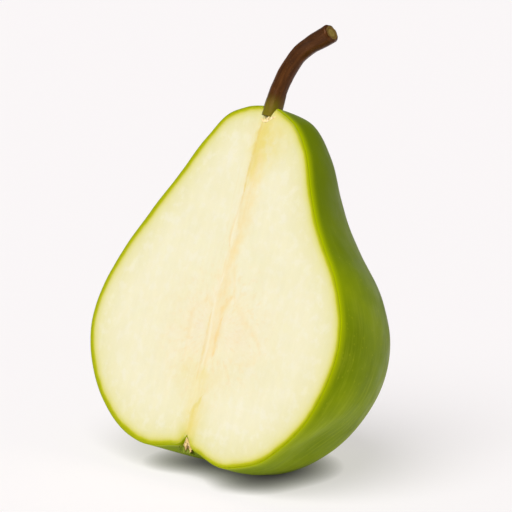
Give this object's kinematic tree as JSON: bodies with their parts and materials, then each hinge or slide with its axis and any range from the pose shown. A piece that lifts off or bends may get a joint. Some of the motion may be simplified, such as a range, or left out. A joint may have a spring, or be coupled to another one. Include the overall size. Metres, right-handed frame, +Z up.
{
  "type": "halved pear",
  "caption": "Half of a fresh green pear, cut lengthwise with its stem left whole, standing on a small flat spot with the cut face showing.",
  "frame": {"origin": "on the surface that the half rests on, below the middle of its bounding box", "axes": "+Z up, -Y the way the cut face looks (it leans back, so it looks slightly up), +X to the right along the cut face"},
  "size_m": [0.0722, 0.0474, 0.0933],
  "materials": {
    "skin_and_flesh": "waxy yellow-green pear skin with a soft sheen; the cut face is moist cream flesh with a green rim",
    "stem_bark": "smooth reddish-brown bark, olive at the foot, with a pale fibrous cut tip",
    "dry_calyx": "dry, fibrous, matte",
    "sepal": "dull olive leaf, slightly dry"
  },
  "bodies": {
    "root": {"pear_half": "skin_and_flesh", "stem": "stem_bark", "calyx": "dry_calyx", "sepal_left": "sepal", "sepal_middle": "sepal", "sepal_right": "sepal"}
  },
  "joints": []
}
